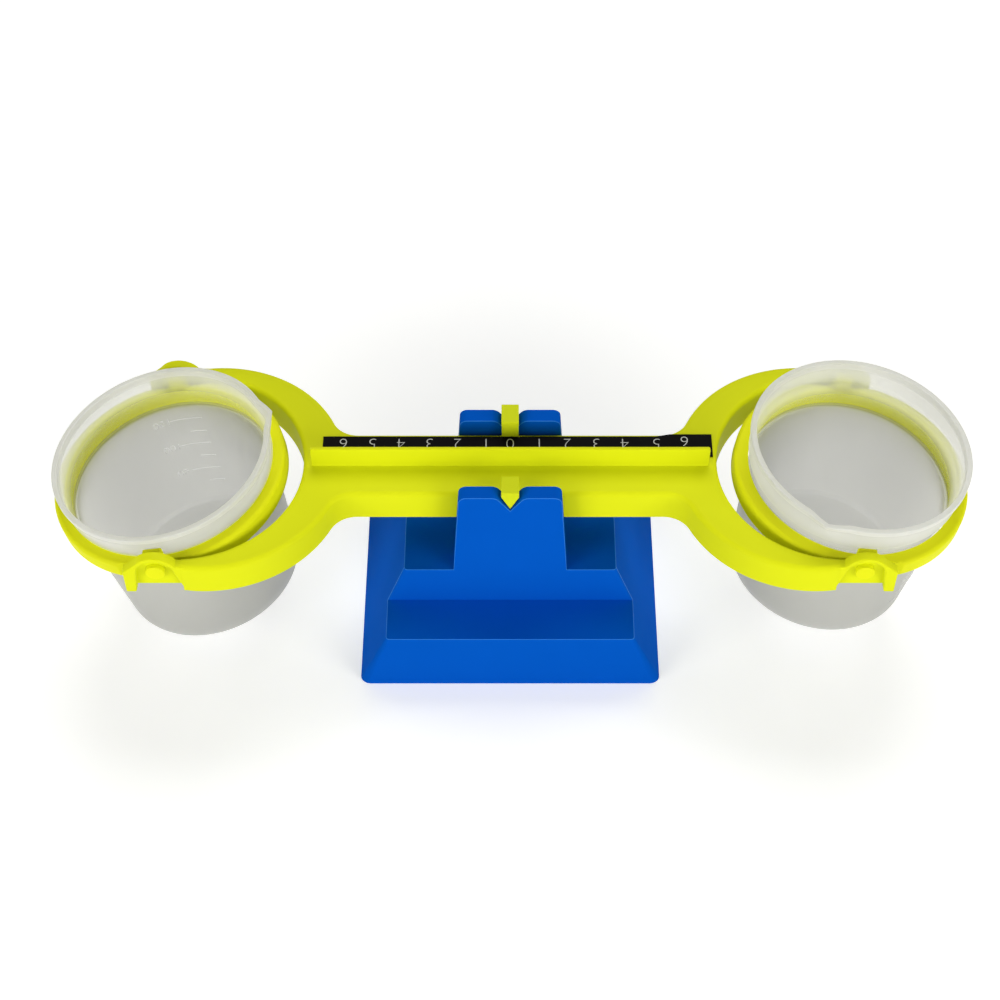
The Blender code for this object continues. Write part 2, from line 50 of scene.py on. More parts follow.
# Sizes of the object, the same as those of its solids.
BEAM_TOP = 78.6 * MM
BEAM_SKIRT = 12.9 * MM
BEAM_WALL = 2.0 * MM
BEAM_EDGE_R = 1.7 * MM
BAR_HALF = 13.9 * MM
SKIRT_BOTTOM = BEAM_TOP - BEAM_SKIRT
PIN_X = 121.5 * MM
PIN_DROP = 4.0 * MM
PIN_R = 3.3 * MM
PIN_Z = BEAM_TOP - PIN_DROP
YOKE_OUT_R = 46.5 * MM
YOKE_OUT_SHIFT = 16.0 * MM
YOKE_IN_R = 41.5 * MM
YOKE_IN_SHIFT = 6.7 * MM
YOKE_FILLET_R = 10.0 * MM
YOKE_END = 9.0 * MM
YOKE_VOID_END = 20.0 * MM
LUG_IN = 42.4 * MM
LUG_BACK_T = 1.4 * MM
LUG_OUT = 45.8 * MM
LUG_ARCH_R = 6.6 * MM
LUG_STRAP = 1.6 * MM
LUG_LEG_IN = 7.6 * MM
LUG_LEG_OUT = 11.2 * MM
LUG_LEG_RISE = 0.7 * MM
LUG_LEG_LOW = 10.2 * MM
LUG_ROOT = 11.5 * MM
LUG_TOP = 3.7 * MM
LUG_BACK_DROP = 7.75 * MM
LUG_CROWN_FROM = math.radians(152.0)
LUG_CROWN_TO = math.radians(34.0)
LUG_EDGE_R = 0.5 * MM
PIN_HOLE_R = PIN_R + 0.08 * MM
RIB_HALF_L = 70.3 * MM
RIB_FRONT = -1.1 * MM
RIB_T = 1.5 * MM
RIB_H = 8.9 * MM
RIB_TIP_R = 0.8 * MM
RIB_EDGE_R = 0.3 * MM
BOSS_HALF_W = 4.5 * MM
BOSS_IN = 7.8 * MM
BOSS_SINK = 0.5 * MM
BOSS_DROP = 10.5 * MM

BASE_HALF_W = 55.6 * MM
BASE_HALF_D = 41.2 * MM
SIDE_SLOPE = 0.385
TIER1_H = 27.6 * MM
TIER1_TOP_HALF_D = 40.4 * MM
TIER2_H = 45.1 * MM
TIER2_FOOT_HALF_D = 22.7 * MM
TIER2_TOP_HALF_D = 22.0 * MM
CHEEK_FOOT_HALF_W = 20.4 * MM
CHEEK_TOP_HALF_W = 17.9 * MM
CHEEK_IN = 14.9 * MM
CHEEK_TOP_OUT = 20.4 * MM
CHEEK_TOP = 84.3 * MM
CHEEK_DRAFT = (TIER2_TOP_HALF_D - CHEEK_TOP_OUT) / (CHEEK_TOP - TIER2_H)
CHEEK_END_R = 2.6 * MM
NOTCH_HALF_W = 4.9 * MM
NOTCH_TIP = 77.55 * MM
NOTCH_EDGE_R = 1.6 * MM
BASE_WALL = 2.0 * MM
BASE_CORNER_R = 3.4 * MM
BASE_EDGE_R = 1.2 * MM
# The share of the corner rounding that is left at the top of a tier.
CORNER_RUN_OUT = 0.35

KNIFE_HALF_W = 3.1 * MM
KNIFE_IN = 12.3 * MM
KNIFE_OUT = 20.0 * MM
KNIFE_REAR_OUT = 20.9 * MM
KNIFE_TIP = 77.7 * MM
KNIFE_SHOULDER = 84.2 * MM
KNIFE_TOP = 86.6 * MM
KNIFE_EDGE_R = 0.25 * MM
HEEL_INSET = 0.05 * MM
TONGUE_HALF_W = 1.5 * MM
TONGUE_IN = 9.8 * MM
TONGUE_SINK = 0.6 * MM
TONGUE_DROP = 8.0 * MM
TONGUE_TOP_DROP = 0.2 * MM

STRIP_LEFT = -66.8 * MM
STRIP_RIGHT = 72.0 * MM
STRIP_FRONT = 3.0 * MM
STRIP_REAR = 12.2 * MM
STRIP_Z = 78.65 * MM
STRIP_T = 0.5 * MM
STRIP_STEP = 1.0 * MM
STRIP_STEP_FROM = 52.0 * MM
STRIP_STEP_TO = 57.0 * MM
STRIP_RELIEF = 0.3 * MM
STRIP_EDGE_R = 0.12 * MM
# The printed figures, about a centimetre apart. The left half stands a little to the right, and the last
# two of the right half stand further out.
FIGURE_X_MM = (-59.5, -49.1, -39.0, -28.8, -18.7, -8.6, 0.0, 10.4, 20.5, 30.7, 40.8, 52.2, 62.2)
FIGURE_Y = 11.1 * MM
FIGURE_H = 4.7 * MM
FIGURE_T = 0.06 * MM
FIGURE_THIN = 0.15 * MM
# The height of a figure as a share of the font's size.
FIGURE_SHARE = 0.69

COLLAR_IN_R = 37.5 * MM
COLLAR_OUT_R = 42.4 * MM
COLLAR_FLAT = 39.8 * MM
COLLAR_TOP = 0.3 * MM
COLLAR_BOTTOM = -7.5 * MM
COLLAR_EDGE_R = 1.6 * MM
COLLAR_FLAT_EDGE_R = 0.6 * MM
EAR_HALF_W = 3.4 * MM
EAR_IN = 39.0 * MM
EAR_OUT = 42.1 * MM
EAR_TOP = 6.0 * MM
EAR_BOTTOM = -3.0 * MM
EAR_EDGE_R = 0.6 * MM
PIN_END = 45.5 * MM
PIN_ROOT = 1.0 * MM
PIN_EDGE_R = 0.3 * MM

RIM_H = 11.0 * MM
RIM_R = 39.5 * MM
RIM_BEAD_H = 2.0 * MM
RIM_BEAD_STEP = 0.5 * MM
RIM_EDGE_R = 0.4 * MM
NECK_R = 38.7 * MM
NECK_FOOT_R = 38.3 * MM
NECK_EDGE_R = 0.4 * MM
BODY_TOP_R = 37.2 * MM
SHOULDER_H = 0.35 * MM
BUCKET_FLOOR = -57.4 * MM
BUCKET_FOOT_R = 33.0 * MM
BUCKET_FILLET_R = 3.0 * MM
BUCKET_WALL = 1.2 * MM
BODY_TAPER = (BODY_TOP_R - BUCKET_FOOT_R) / (SHOULDER_H - BUCKET_FLOOR)
SPOUT_REACH = 2.6 * MM
SPOUT_HALF_ANGLE = math.radians(11.0)
SPOUT_DEPTH = 10.0 * MM
LEFT_LEAN = math.radians(9.7)
RIGHT_LEAN = math.radians(7.0)
RIGHT_RAISE = 4.0 * MM
LEFT_SPOUT = math.radians(18.0)
RIGHT_SPOUT = math.radians(-113.0)

# The buckets' measuring lines: heights, and angles in degrees round from the spout.
MARK_HEIGHTS_MM = (-12.5, -19.2, -25.6, -32.3, -39.0, -45.7)
MARK_ML_TOP = 150
MARK_ML_STEP = 25
MARK_FROM = 64.0
MARK_LONG = 19.0
MARK_SHORT = 9.2
MARK_HALF_T = 0.17 * MM
MARK_PROUD = 0.2 * MM
MARK_UNDER = BUCKET_WALL + 0.06 * MM
MARK_FIGURE_AT = 88.5
MARK_FIGURE_H = 3.4 * MM
MARK_FIGURE_DROP = 1.8 * MM
MARK_FIGURE_THIN = 0.1 * MM


# Drawing and shaping


def only(geom, kind):
    # The vertices, edges or faces among what an operator returns.
    return [item for item in geom if isinstance(item, kind)]


def draw(bm, start, place):
    # A straight edge from a vertex to a place.
    end = bmesh.ops.extrude_vert_indiv(bm, verts=[start])["verts"][0]
    end.co = place
    return end


def run(bm, start, places):
    # Straight edges from a vertex through several places.
    end = start
    for place in places:
        end = draw(bm, end, place)
    return end


def bend(bm, start, centre, angle, steps, axis=(0.0, 0.0, 1.0)):
    # An arc from a vertex round a centre.
    last = bmesh.ops.spin(bm, geom=[start], cent=centre, axis=axis, angle=angle, steps=steps)["geom_last"]
    return only(last, bmesh.types.BMVert)[0]


def closed(bm, first, last):
    # Joins the ends of a drawn line and fills it.
    bm.edges.new((last, first))
    return bmesh.ops.contextual_create(bm, geom=list(bm.edges))["faces"][0]


def thicken(bm, faces, shift):
    # Extrudes flat faces into a closed block.
    grown = bmesh.ops.extrude_face_region(bm, geom=faces)["geom"]
    bmesh.ops.translate(bm, verts=only(grown, bmesh.types.BMVert), vec=shift)
    bmesh.ops.recalc_face_normals(bm, faces=bm.faces)


def soften(bm, edges, width, segments):
    # Rounds edges off.
    return bmesh.ops.bevel(bm, geom=edges, offset=width, offset_type="OFFSET", affect="EDGES",
                           segments=segments, profile=0.5, clamp_overlap=True, material=-1)


def sharp_edges(bm, degrees=30.0):
    least = math.radians(degrees)
    return [edge for edge in bm.edges if len(edge.link_faces) == 2 and edge.calc_face_angle() > least]


def block(x, y, z):
    # A box from three pairs of limits.
    bm = bmesh.new()
    bmesh.ops.create_cube(bm, size=1.0)
    bmesh.ops.scale(bm, verts=bm.verts, vec=(x[1] - x[0], y[1] - y[0], z[1] - z[0]))
    middle = ((x[0] + x[1]) / 2, (y[0] + y[1]) / 2, (z[0] + z[1]) / 2)
    bmesh.ops.translate(bm, verts=bm.verts, vec=middle)
    return bm


def turn(bm, steps):
    # Revolves the drawn profile about Z and closes the seam and the poles.
    bmesh.ops.spin(bm, geom=list(bm.verts) + list(bm.edges), cent=(0.0, 0.0, 0.0), axis=(0.0, 0.0, 1.0),
                   angle=2 * math.pi, steps=steps, use_merge=True)
    bmesh.ops.remove_doubles(bm, verts=bm.verts, dist=TINY)
    bmesh.ops.recalc_face_normals(bm, faces=bm.faces)


def add_body(bm, other, matrix=Matrix()):
    # Puts another closed body into the same moulding.
    bmesh.ops.transform(other, matrix=matrix, verts=other.verts)
    mesh = bpy.data.meshes.new("body")
    other.to_mesh(mesh)
    other.free()
    bm.from_mesh(mesh)
    bpy.data.meshes.remove(mesh)


def solid(name, bm):
    # Turns a drawn body into an object: merged and facing out.
    bmesh.ops.remove_doubles(bm, verts=bm.verts, dist=MERGE)
    bmesh.ops.recalc_face_normals(bm, faces=bm.faces)
    mesh = bpy.data.meshes.new(name)
    bm.to_mesh(mesh)
    bm.free()
    obj = bpy.data.objects.new(name, mesh)
    bpy.context.scene.collection.objects.link(obj)
    return obj


def piece(name, bm, materials, body, nodes=(), smooth=35.0, marks=None):
    # Makes the finished piece: marks moulded in, smooth with crisp edges, riding on its body.
    obj = solid(name, bm)
    for material in materials:
        obj.data.materials.append(material)
    if marks:
        union = obj.modifiers.new("moulded_in", "BOOLEAN")
        union.object = marks
        union.operation = "UNION"
        union.solver = "EXACT"
        union.material_mode = "TRANSFER"
        with bpy.context.temp_override(object=obj):
            bpy.ops.object.modifier_apply(modifier=union.name)
        bpy.data.objects.remove(marks)
    obj.data.shade_smooth()
    obj.data.set_sharp_from_angle(angle=math.radians(smooth))
    even = obj.modifiers.new("even_shading", "WEIGHTED_NORMAL")
    even.keep_sharp = True
    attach(obj, body)
    if nodes:
        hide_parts(*nodes)


# Materials. A noise's scale is written as 1000 over the size of its blotches in millimetres.


def tone(text):
    # An sRGB hex colour as linear values.
    channels = [int(text[i:i + 2], 16) / 255 for i in (0, 2, 4)]
    return tuple(c / 12.92 if c <= 0.04045 else ((c + 0.055) / 1.055) ** 2.4 for c in channels) + (1.0,)


WHITE = tone("FFFFFF")


def add(tree, kind, values=(), links=(), **settings):
    # One node with its settings, socket values and incoming links.
    node = tree.nodes.new(kind)
    for key, value in settings.items():
        setattr(node, key, value)
    for key, value in dict(values).items():
        node.inputs[key].default_value = value
    for key, source in dict(links).items():
        tree.links.new(source, node.inputs[key])
    return node


def blank(name):
    # A material with no nodes yet.
    material = bpy.data.materials.new(name)
    material.use_nodes = True
    material.node_tree.nodes.clear()
    return material, material.node_tree


def moulded(name, light, dark, rough, grain_mm, depth_mm, gleam=0.1):
    # Injection-moulded plastic: an even colour with a slow, faint flow shade, a satin spark-eroded skin
    # whose grain breaks up the highlights, and small differences of polish.
    material, tree = blank(name)
    where = add(tree, "ShaderNodeTexCoord").outputs["Object"]
    flow = add(tree, "ShaderNodeTexNoise", {"Scale": 1000 / 38.0, "Detail": 3.0}, {"Vector": where})
    shade = add(tree, "ShaderNodeMix", {"A": tone(light), "B": tone(dark)}, {"Factor": flow.outputs["Fac"]},
                data_type="RGBA")
    polish = add(tree, "ShaderNodeTexNoise", {"Scale": 1000 / 9.0, "Detail": 4.0}, {"Vector": where})
    gloss = add(tree, "ShaderNodeMapRange", {"To Min": rough - 0.06, "To Max": rough + 0.06},
                {"Value": polish.outputs["Fac"]})
    grain = add(tree, "ShaderNodeTexNoise", {"Scale": 1000 / grain_mm, "Detail": 2.0}, {"Vector": where})
    bump = add(tree, "ShaderNodeBump", {"Strength": 0.35, "Distance": depth_mm * MM},
               {"Height": grain.outputs["Fac"]})
    skin = add(tree, "ShaderNodeBsdfPrincipled", {"IOR": 1.49, "Specular IOR Level": gleam},
               {"Base Color": shade.outputs["Result"], "Roughness": gloss.outputs["Result"],
                "Normal": bump.outputs["Normal"]})
    add(tree, "ShaderNodeOutputMaterial", {}, {"Surface": skin.outputs["BSDF"]})
    return material


# Dyed plastic of the base, and its rounded mould edges, which are smoother and glossier and painted a paler
# blue as a highlight.
BLUE = moulded("blue_moulded_plastic", "0558C2", "0253BA", 0.55, 0.7, 0.05, 0.003)
BLUE_EDGE_HIGHLIGHT = moulded("blue_plastic_painted_edge_highlight", "2C7CDA", "1F70D0", 0.4, 0.7, 0.03, 0.12)
# Dyed plastic of the beam, the knife edges and the collars, three mouldings of nearly one colour.
LIME = moulded("lime_moulded_plastic", "E2E71A", "DCE214", 0.5, 0.7, 0.05, 0.04)
KNIFE_LIME = moulded("knife_lime_plastic", "D6DF20", "CCD618", 0.55, 0.5, 0.06, 0.04)
COLLAR_LIME = moulded("collar_lime_plastic", "E8EA1C", "E2E516", 0.5, 0.7, 0.05, 0.04)
# The strip's dull black film and the dry white ink on it, both with a plastic's fine skin.
STRIP = moulded("black_printed_film", "0B0908", "070605", 0.6, 1.5, 0.03, 0.03)
INK = moulded("white_ink", "DCDDD8", "CCCDC8", 0.55, 0.4, 0.02)

# Where the bucket's wall clears as the collar touches it, in heights above the pins.
CLEAR_SHARE = 0.25
CLEAR_FROM = COLLAR_BOTTOM + 0.9 * MM
CLEAR_TO = COLLAR_BOTTOM + 3.2 * MM
CLOUD_FROM = COLLAR_BOTTOM + 2.0 * MM
CLOUD_TO = 12.5 * MM
PALE_TO = 3.0 * MM


def frosted(name, light, dark, through, rough, thin, edge, place=None):
    # Natural polypropylene: a thin milky wall with a matt moulded skin. Part of the light behind it comes
    # through spread out, so a touching colour glows and a far one blurs. A little comes straight, least
    # where the look runs along the wall: thin and edge are the milky shares face on and edge on, and through
    # is the share that comes spread out. With a collar's place given, the wall clears where the collar
    # touches it and is paler in the neck above.
    material, tree = blank(name)
    where = add(tree, "ShaderNodeTexCoord").outputs["Object"]
    flow = add(tree, "ShaderNodeTexNoise", {"Scale": 1000 / 30.0, "Detail": 3.0}, {"Vector": where})
    shade = add(tree, "ShaderNodeMix", {"A": tone(light), "B": tone(dark)}, {"Factor": flow.outputs["Fac"]},
                data_type="RGBA").outputs["Result"]
    polish = add(tree, "ShaderNodeTexNoise", {"Scale": 1000 / 7.0, "Detail": 4.0}, {"Vector": where})
    gloss = add(tree, "ShaderNodeMapRange", {"To Min": rough - 0.05, "To Max": rough + 0.05},
                {"Value": polish.outputs["Fac"]})
    grain = add(tree, "ShaderNodeTexNoise", {"Scale": 1000 / 0.8, "Detail": 2.0}, {"Vector": where})
    bump = add(tree, "ShaderNodeBump", {"Strength": 0.3, "Distance": 0.05 * MM},
               {"Height": grain.outputs["Fac"]})
    along = add(tree, "ShaderNodeLayerWeight", {"Blend": 0.5})
    milk = add(tree, "ShaderNodeMapRange", {"To Min": thin, "To Max": edge},
               {"Value": along.outputs["Facing"]}).outputs["Result"]
    if place:
        own = add(tree, "ShaderNodeMapping",
                  {"Location": place.to_translation(), "Rotation": place.to_euler()},
                  {"Vector": where}, vector_type="TEXTURE")
        height = add(tree, "ShaderNodeSeparateXYZ", {}, {"Vector": own.outputs["Vector"]}).outputs["Z"]
        below = add(tree, "ShaderNodeMapRange",
                    {"From Min": CLEAR_FROM, "From Max": CLEAR_TO, "To Min": 1.0, "To Max": CLEAR_SHARE},
                    {"Value": height}, interpolation_type="SMOOTHSTEP")
        above = add(tree, "ShaderNodeMapRange",
                    {"From Min": CLOUD_FROM, "From Max": CLOUD_TO, "To Min": CLEAR_SHARE, "To Max": 1.0},
                    {"Value": height}, interpolation_type="SMOOTHSTEP")
        veil = add(tree, "ShaderNodeMath", {}, {0: below.outputs["Result"], 1: above.outputs["Result"]},
                   operation="MAXIMUM")
        milk = add(tree, "ShaderNodeMath", {}, {0: milk, 1: veil.outputs[0]},
                   operation="MULTIPLY").outputs[0]
        pale = add(tree, "ShaderNodeMapRange", {"From Min": COLLAR_BOTTOM, "From Max": PALE_TO},
                   {"Value": height})
        shade = add(tree, "ShaderNodeMix", {"B": tone("E8E8E2")},
                    {"Factor": pale.outputs["Result"], "A": shade}, data_type="RGBA").outputs["Result"]
    skin = add(tree, "ShaderNodeBsdfPrincipled", {"IOR": 1.49, "Specular IOR Level": 0.3},
               {"Base Color": shade, "Roughness": gloss.outputs["Result"], "Normal": bump.outputs["Normal"]})
    glow = add(tree, "ShaderNodeBsdfTranslucent", {"Color": tone("E8E8E4")},
               {"Normal": bump.outputs["Normal"]})
    wall = add(tree, "ShaderNodeMixShader", {0: through}, {1: skin.outputs["BSDF"], 2: glow.outputs["BSDF"]})
    straight = add(tree, "ShaderNodeBsdfTransparent", {"Color": WHITE})
    both = add(tree, "ShaderNodeMixShader", {},
               {0: milk, 1: straight.outputs["BSDF"], 2: wall.outputs["Shader"]})
    add(tree, "ShaderNodeOutputMaterial", {}, {"Surface": both.outputs["Shader"]})
    return material


# The bucket's thick rolled rim, and its raised marks, which are clearer and more translucent than the wall
# and painted whiter to show the light they catch.
FROSTED_RIM = frosted("frosted_polypropylene_rim", "E6E6E0", "E0E0DA", 0.3, 0.45, 0.85, 0.95)
MARKS_PAINTED_WHITER = frosted("frosted_polypropylene_marks_painted_light", "FFFFFF", "FAFAF8", 0.6, 0.45, 0.25, 0.5)


# Base: a stepped block drawn in along one sloping plane at each end. The cheeks grow from its deck.


def set_ends(verts, inset):
    # Moves vertices to the sloping ends, or to a plane inside them.
    for vert in verts:
        reach = BASE_HALF_W - inset - SIDE_SLOPE * vert.co.z
        vert.co.x = math.copysign(reach, vert.co.x)


def flat_at(bm, z, down=False):
    # The level faces at a height.
    up = -1.0 if down else 1.0
    level = [face for face in bm.faces if face.normal.z * up > 0.9]
    return [face for face in level if abs(face.calc_center_median().z - z) < NEAR]


def split(bm, faces, point, normal):
    # Cuts faces in two along a plane.
    edges = {edge for face in faces for edge in face.edges}
    verts = {vert for face in faces for vert in face.verts}
    cut = bmesh.ops.bisect_plane(bm, geom=list(faces) + list(edges) + list(verts), dist=MERGE,
                                 plane_co=point, plane_no=normal)["geom"]
    return only(cut, bmesh.types.BMFace)


def make_base():
    # The stepped profile, drawn from rear to front and thickened. set_ends then places both its ends.
    bm = bmesh.new()
    first = bm.verts.new((-1.0, BASE_HALF_D, 0.0))
    steps = ((TIER1_TOP_HALF_D, TIER1_H), (TIER2_FOOT_HALF_D, TIER1_H), (TIER2_TOP_HALF_D, TIER2_H),
             (-TIER2_TOP_HALF_D, TIER2_H), (-TIER2_FOOT_HALF_D, TIER1_H), (-TIER1_TOP_HALF_D, TIER1_H),
             (-BASE_HALF_D, 0.0))
    last = run(bm, first, [(-1.0, y, z) for y, z in steps])
    thicken(bm, [closed(bm, first, last)], (2.0, 0.0, 0.0))
    set_ends(bm.verts, 0.0)
    bm.normal_update()

    # The hollow under the two tiers.
    foot = flat_at(bm, 0.0, down=True)
    bmesh.ops.inset_region(bm, faces=foot, thickness=BASE_WALL, use_even_offset=True)
    bm.normal_update()
    floor = max(flat_at(bm, 0.0, down=True), key=lambda face: face.calc_area())
    for tier, half in ((TIER1_H, TIER1_TOP_HALF_D), (TIER2_H, TIER2_TOP_HALF_D)):
        rise = tier - BASE_WALL
        grown = bmesh.ops.extrude_face_region(bm, geom=[floor])["geom"]
        bmesh.ops.delete(bm, geom=[floor], context="FACES_ONLY")
        tops = only(grown, bmesh.types.BMVert)
        for vert in tops:
            vert.co.z = rise
            vert.co.y = math.copysign(half - BASE_WALL, vert.co.y)
        set_ends(tops, BASE_WALL)
        bmesh.ops.recalc_face_normals(bm, faces=bm.faces)
        roof = only(grown, bmesh.types.BMFace)
        if tier == TIER1_H:
            inner = TIER2_FOOT_HALF_D - BASE_WALL
            for limit in (inner, -inner):
                roof = split(bm, roof, (0.0, limit, rise), (0.0, 1.0, 0.0))
        floor = min(roof, key=lambda face: abs(face.calc_center_median().y))

    # The cheeks: two strips of the deck drawn upwards, each with a V pressed into its top.
    deck = flat_at(bm, TIER2_H)
    for limit in (CHEEK_IN, -CHEEK_IN):
        deck = split(bm, deck, (0.0, limit, TIER2_H), (0.0, 1.0, 0.0))
    strips = [face for face in deck if abs(face.calc_center_median().y) > CHEEK_IN]
    for limit in (CHEEK_FOOT_HALF_W, -CHEEK_FOOT_HALF_W):
        strips = split(bm, strips, (limit, 0.0, TIER2_H), (1.0, 0.0, 0.0))
    strips = [face for face in strips if abs(face.calc_center_median().x) < CHEEK_FOOT_HALF_W - MM]
    for limit in (0.0, NOTCH_HALF_W, -NOTCH_HALF_W):
        strips = split(bm, strips, (limit, 0.0, TIER2_H), (1.0, 0.0, 0.0))
    strips = [face for face in strips if abs(face.calc_center_median().y) > CHEEK_IN]
    grown = bmesh.ops.extrude_face_region(bm, geom=strips)["geom"]
    bmesh.ops.delete(bm, geom=strips, context="FACES")
    for vert in only(grown, bmesh.types.BMVert):
        outside = abs(vert.co.y) > CHEEK_IN + MM
        vert.co.z = CHEEK_TOP
        if outside:
            vert.co.y = math.copysign(CHEEK_TOP_OUT, vert.co.y)
        if abs(vert.co.x) > NOTCH_HALF_W + MM:
            vert.co.x = math.copysign(CHEEK_TOP_HALF_W, vert.co.x)
        if abs(vert.co.x) < MM:
            vert.co.z = NOTCH_TIP
            if outside:
                reach = CHEEK_TOP_OUT + CHEEK_DRAFT * (CHEEK_TOP - NOTCH_TIP)
                vert.co.y = math.copysign(reach, vert.co.y)
    bmesh.ops.recalc_face_normals(bm, faces=bm.faces)
    bmesh.ops.dissolve_limit(bm, angle_limit=math.radians(1.0), verts=bm.verts, edges=bm.edges)

    # Rounded corners that run out upwards, then the ends of the cheeks, then every other outer edge.
    def joins(edge, low_z, high_z, top_half):
        low, high = sorted(vert.co.z for vert in edge.verts)
        spans = abs(low - low_z) < MM and abs(high - high_z) < MM
        return spans and min(abs(vert.co.y) for vert in edge.verts) > top_half - BASE_WALL / 2

    corners = [edge for edge in bm.edges if joins(edge, 0.0, TIER1_H, TIER1_TOP_HALF_D)
               or joins(edge, TIER1_H, TIER2_H, TIER2_TOP_HALF_D)]
    hips = soften(bm, corners, BASE_CORNER_R, 6)["faces"]
    for vert in {vert for face in hips for vert in face.verts if vert.co.z > MM}:
        x, y, z = vert.co
        half = TIER2_FOOT_HALF_D if z < TIER2_H - MM else TIER2_TOP_HALF_D
        half = TIER1_TOP_HALF_D if abs(y) > TIER2_FOOT_HALF_D + MM else half
        tip = Vector((math.copysign(BASE_HALF_W - SIDE_SLOPE * z, x), math.copysign(half, y), z))
        vert.co = tip + CORNER_RUN_OUT * (vert.co - tip)

    def top_edges():
        # The edges on top of the cheeks that run from front to rear.
        top = [edge for edge in bm.edges if min(vert.co.z for vert in edge.verts) > CHEEK_TOP - NEAR]
        return [edge for edge in top if abs(edge.verts[0].co.x - edge.verts[1].co.x) < TINY]

    ends = [edge for edge in top_edges() if abs(edge.verts[0].co.x) > NOTCH_HALF_W + MM]
    soften(bm, ends, CHEEK_END_R, 5)
    lips = [edge for edge in top_edges() if abs(abs(edge.verts[0].co.x) - NOTCH_HALF_W) < 0.1 * MM]
    soften(bm, lips, NOTCH_EDGE_R, 5)

    def shows(edge):
        # Convex, and not on the foot, in the hollow or along the bottom of a notch.
        places = [vert.co for vert in edge.verts]
        inside = BASE_HALF_D - BASE_WALL + 0.1 * MM
        hollow = any(abs(place.y) < inside and place.z < TIER1_H - MM for place in places)
        roof = any(abs(place.z - (TIER2_H - BASE_WALL)) < NEAR for place in places)
        notch = all(abs(place.x) < MM for place in places)
        return max(place.z for place in places) > MM and edge.is_convex and not (hollow or roof or notch)

    outer = [edge for edge in sharp_edges(bm, 33.0) if shows(edge)]
    # The rounded outer edges take the second material, a paler blue painted on as a highlight.
    for rounded in soften(bm, outer, BASE_EDGE_R, 4)["faces"]:
        rounded.material_index = 1
    return bm


piece("base_moulding", make_base(), [BLUE, BLUE_EDGE_HIGHLIGHT], "base_body", ["base"], 40.0)


# Beam


def beam_plan(bm, inset, end, z):
    # The outline from above: one quarter drawn with arcs and mirrored twice.
    half = BAR_HALF - inset
    out_r = YOKE_OUT_R - inset
    in_r = YOKE_IN_R + inset
    fillet_r = YOKE_FILLET_R + inset
    out_x = PIN_X - YOKE_OUT_SHIFT
    in_x = PIN_X - YOKE_IN_SHIFT
    end_x = PIN_X - end
    fillet_x = out_x - math.sqrt((out_r + fillet_r) ** 2 - (half + fillet_r) ** 2)
    fillet_y = half + fillet_r
    first = bm.verts.new((fillet_x, half, z))
    before = set(bm.verts) - {first}
    fillet_turn = math.atan2(-fillet_y, out_x - fillet_x) + math.pi / 2
    last = bend(bm, first, (fillet_x, fillet_y, z), fillet_turn, 10)
    out_turn = math.acos((end_x - out_x) / out_r) - math.atan2(fillet_y, fillet_x - out_x)
    last = bend(bm, last, (out_x, 0.0, z), out_turn, 28)
    start = math.acos((end_x - in_x) / in_r)
    last = draw(bm, last, (end_x, in_r * math.sin(start), z))
    bend(bm, last, (in_x, 0.0, z), math.pi - start, 36)
    for axis in ("Y", "X"):
        fresh = [vert for vert in bm.verts if vert not in before]
        lines = [edge for edge in bm.edges if not before.intersection(edge.verts)]
        bmesh.ops.mirror(bm, geom=fresh + lines, matrix=Matrix(), merge_dist=TINY, axis=axis)
    for side in (1, -1):
        fresh = [vert for vert in bm.verts if vert not in before]
        starts = [vert for vert in fresh if abs(abs(vert.co.x) - fillet_x) < TINY]
        bm.edges.new([vert for vert in starts if abs(vert.co.y - side * half) < TINY])
    return [edge for edge in bm.edges if not before.intersection(edge.verts)]


def raise_wall(bm, rim, height):
    # Draws a closed line up into a wall and roofs it over.
    grown = bmesh.ops.extrude_edge_only(bm, edges=rim)["geom"]
    bmesh.ops.translate(bm, verts=only(grown, bmesh.types.BMVert), vec=(0.0, 0.0, height))
    lip = [edge for edge in only(grown, bmesh.types.BMEdge)
           if abs(edge.verts[0].co.z - edge.verts[1].co.z) < MERGE and edge.verts[0].co.z > SKIRT_BOTTOM + MM]
    bmesh.ops.contextual_create(bm, geom=lip)
    return lip


